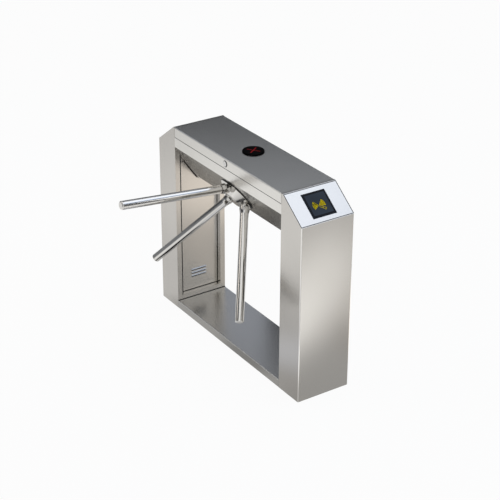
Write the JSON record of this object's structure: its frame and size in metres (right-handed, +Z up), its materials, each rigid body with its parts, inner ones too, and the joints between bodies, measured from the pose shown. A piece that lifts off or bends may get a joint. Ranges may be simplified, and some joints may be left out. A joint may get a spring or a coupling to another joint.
{
  "type": "tripod turnstile",
  "caption": "Bridge-type tripod turnstile: a brushed stainless cabinet with a tilted hub, tubular arms that turn and drop, sloped card readers, a hinged lid and service doors.",
  "frame": {"origin": "centre of the cabinet footprint, on the floor", "axes": "+X along the cabinet towards the column with the control board, arms towards -Y, +Z up"},
  "size_m": [1.2, 0.8317, 0.987],
  "materials": {
    "brushed_sheet": "brushed stainless sheet",
    "polished_tube": "polished stainless tube",
    "hub_casting": "satin casting",
    "dark_window": "dark glossy window",
    "black_rubber": "moulded rubber",
    "machined_steel": "machined steel",
    "bearing_steel": "ground bearing steel",
    "zinc_plate": "zinc plated steel",
    "lock_chrome": "bright plated lock",
    "coil_black": "black painted steel",
    "circuit_board": "green solder mask",
    "black_plastic": "moulded plastic",
    "supply_case": "mill finish sheet"
  },
  "bodies": {
    "cabinet": {"column_frames": "brushed_sheet", "column_side_panels": "brushed_sheet", "column_end_panels": "brushed_sheet", "reader_panels": "brushed_sheet", "reader_windows": "dark_window", "reader_modules": "black_plastic", "foot_plates": "machined_steel", "cable_grommets": "black_rubber", "base_tray": "zinc_plate", "base_cover": "brushed_sheet", "door_hinges": "machined_steel", "beam_front_panel": "brushed_sheet", "beam_floor_panel": "brushed_sheet", "beam_back_panel": "brushed_sheet", "beam_end_walls": "brushed_sheet", "beam_bolts": "zinc_plate", "lid_hinge": "machined_steel", "hub_seal_ring": "black_rubber", "mechanism_plates": "zinc_plate", "mechanism_pillars": "machined_steel", "mechanism_screws": "zinc_plate", "bearing_housing": "machined_steel", "bearing_outer_rings": "bearing_steel", "bearing_balls": "bearing_steel", "drive_motor": "coil_black", "position_sensor": "black_plastic", "lock_solenoids": "coil_black", "drop_solenoid": "coil_black", "control_board": "circuit_board", "power_supply": "supply_case"},
    "tripod": {"tripod_hub": "hub_casting", "hub_cap": "polished_tube", "lower_arm_tubes": "polished_tube", "lower_arm_knuckles": "polished_tube", "lower_arm_caps": "polished_tube", "arm_pivot_pins": "machined_steel", "main_shaft": "machined_steel", "shaft_nuts": "zinc_plate", "bearing_inner_rings": "bearing_steel", "drive_gear": "machined_steel", "index_disc": "machined_steel", "encoder_disc": "machined_steel"},
    "top_arm": {"top_arm_tube": "polished_tube", "top_arm_knuckle": "polished_tube", "top_arm_cap": "polished_tube"},
    "drop_rod": {"drop_rod": "machined_steel"},
    "pinion": {"drive_pinion": "machined_steel"},
    "left_pawl": {"left_pawl": "machined_steel"},
    "right_pawl": {"right_pawl": "machined_steel"},
    "left_plunger": {"left_plunger": "machined_steel"},
    "right_plunger": {"right_plunger": "machined_steel"},
    "lid": {"lid_cover": "brushed_sheet", "indicator_lens": "dark_window", "indicator_board": "circuit_board", "lid_lock_barrel": "lock_chrome"},
    "lid_lock": {"lid_lock_core": "lock_chrome"},
    "left_door": {"left_door": "brushed_sheet"},
    "right_door": {"right_door": "brushed_sheet"},
    "left_door_lock": {"left_door_lock": "lock_chrome"},
    "right_door_lock": {"right_door_lock": "lock_chrome"}
  },
  "joints": [
    {"name": "tripod_turn", "type": "hinge", "parent": "cabinet", "child": "tripod", "pos_m": [0, -0.07525, 0.78923], "axis": [0, -0.8141, -0.5807], "continuous": true},
    {"name": "arm_drop", "type": "hinge", "parent": "tripod", "child": "top_arm", "pos_m": [0, -0.15019, 0.83368], "axis": [1, 0, 0], "range_deg": [0, 80]},
    {"name": "drop_rod_pull", "type": "slide", "parent": "tripod", "child": "drop_rod", "axis": [0, 0.8141, 0.5807], "range_m": [0, 0.006], "stiffness_N_per_m": 400, "springref_m": -0.005},
    {"name": "pinion_turn", "type": "hinge", "parent": "cabinet", "child": "pinion", "pos_m": [0.075, -0.07525, 0.78923], "axis": [0, -0.8141, -0.5807], "continuous": true},
    {"name": "left_pawl_swing", "type": "hinge", "parent": "cabinet", "child": "left_pawl", "pos_m": [-0.094, -0.05493, 0.76073], "axis": [0, 0.8141, 0.5807], "range_deg": [0, 14], "stiffness_Nm_per_rad": 1, "springref_deg": -8.59},
    {"name": "right_pawl_swing", "type": "hinge", "parent": "cabinet", "child": "right_pawl", "pos_m": [0.094, -0.05493, 0.76073], "axis": [0, -0.8141, -0.5807], "range_deg": [0, 14], "stiffness_Nm_per_rad": 1, "springref_deg": -8.59},
    {"name": "left_plunger_slide", "type": "slide", "parent": "cabinet", "child": "left_plunger", "axis": [-1, 0, 0], "range_m": [0, 0.011]},
    {"name": "right_plunger_slide", "type": "slide", "parent": "cabinet", "child": "right_plunger", "axis": [1, 0, 0], "range_m": [0, 0.011]},
    {"name": "lid_open", "type": "hinge", "parent": "cabinet", "child": "lid", "pos_m": [0, 0.144, 0.93], "axis": [-1, 0, 0], "range_deg": [0, 85]},
    {"name": "lid_lock_turn", "type": "hinge", "parent": "lid", "child": "lid_lock", "pos_m": [0, -0.14, 0.955], "axis": [0, -1, 0], "range_deg": [0, 90]},
    {"name": "left_door_open", "type": "hinge", "parent": "cabinet", "child": "left_door", "pos_m": [-0.475, -0.101, 0.4], "axis": [0, 0, -1], "range_deg": [0, 100]},
    {"name": "right_door_open", "type": "hinge", "parent": "cabinet", "child": "right_door", "pos_m": [0.475, -0.101, 0.4], "axis": [0, 0, 1], "range_deg": [0, 100]},
    {"name": "left_door_lock_turn", "type": "hinge", "parent": "left_door", "child": "left_door_lock", "pos_m": [-0.475, 0.085, 0.46], "axis": [1, 0, 0], "range_deg": [0, 90]},
    {"name": "right_door_lock_turn", "type": "hinge", "parent": "right_door", "child": "right_door_lock", "pos_m": [0.475, 0.085, 0.46], "axis": [1, 0, 0], "range_deg": [0, 90]}
  ],
  "couplings": [
    {"joint": "pinion_turn", "follows": "tripod_turn", "ratio": -4},
    {"joint": "left_plunger_slide", "follows": "left_pawl_swing", "m_per_rad": 0.044554},
    {"joint": "right_plunger_slide", "follows": "right_pawl_swing", "m_per_rad": 0.044554}
  ]
}
